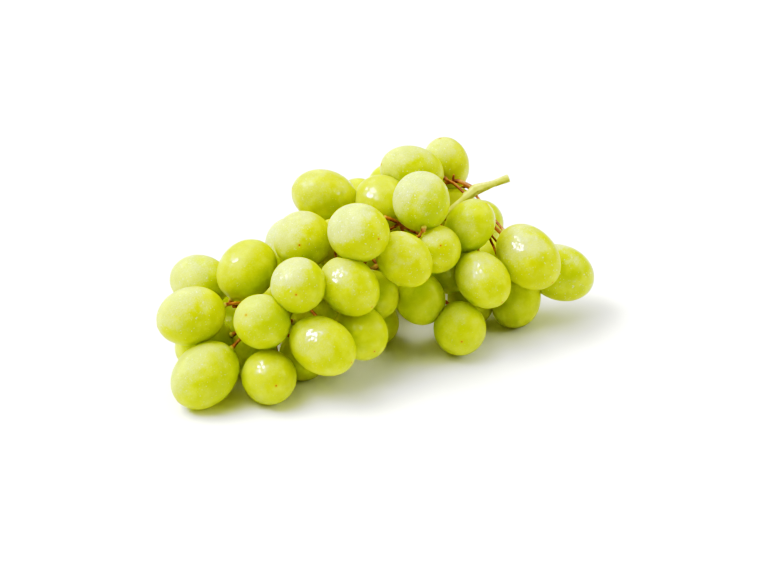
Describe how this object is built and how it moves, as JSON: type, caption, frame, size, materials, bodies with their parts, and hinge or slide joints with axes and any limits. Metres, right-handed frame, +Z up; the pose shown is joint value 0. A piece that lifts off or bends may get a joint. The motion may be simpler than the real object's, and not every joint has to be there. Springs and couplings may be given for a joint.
{
  "type": "bunch of grapes",
  "caption": "Bunch of green seedless grapes lying on its side: oval berries on a branched stem that tapers from a short cut stalk to a pointed tip.",
  "frame": {"origin": "on the surface the bunch lies on, under the middle of its bounding box", "axes": "+Z up from the surface, +X along the length of the bunch towards the cut end of its stalk, -Y towards the side the picture shows"},
  "size_m": [0.1686, 0.1056, 0.0648],
  "materials": {
    "stem": "green to brown woody stem, matt",
    "berry_skin": "translucent yellow-green skin with a thin whitish bloom, softly glossy"
  },
  "bodies": {
    "root": {"stem": "stem", "berries_spray_1": "berry_skin", "berries_spray_2": "berry_skin", "berries_spray_3": "berry_skin", "berries_spray_4": "berry_skin", "berries_spray_5": "berry_skin", "berries_spray_6": "berry_skin", "berries_spray_7": "berry_skin", "berries_spray_8": "berry_skin"}
  },
  "joints": []
}
